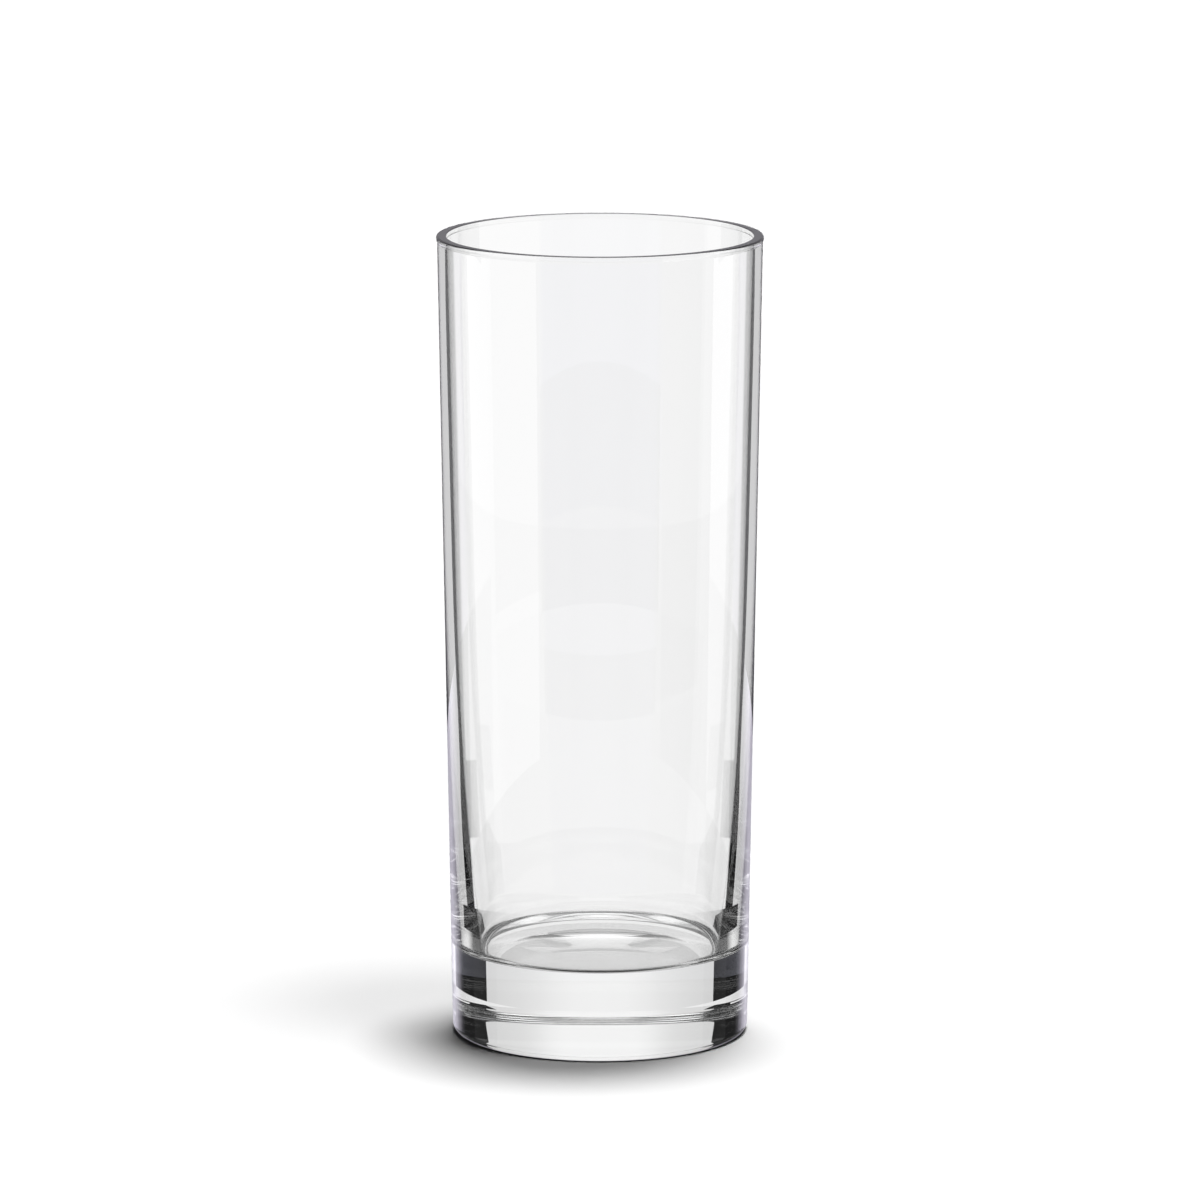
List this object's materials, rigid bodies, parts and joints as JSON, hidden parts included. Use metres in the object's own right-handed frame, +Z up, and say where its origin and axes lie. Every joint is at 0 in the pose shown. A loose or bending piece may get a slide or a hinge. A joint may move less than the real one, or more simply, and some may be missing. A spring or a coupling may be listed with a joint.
{
  "type": "highball glass",
  "caption": "Tall straight-sided cooler glass in clear glass, with a heavy solid base, a shallow push-up underneath and a fire-polished rim.",
  "frame": {"origin": "middle of the foot, on the surface that the glass stands on", "axes": "+Z up along the axis of the glass, towards the rim; the glass is round, so +X and +Y are alike"},
  "size_m": [0.0648, 0.0648, 0.161],
  "materials": {
    "clear_glass": "clear, fire-polished, smooth all over"
  },
  "bodies": {
    "root": {"glass_tumbler": "clear_glass"}
  },
  "joints": []
}
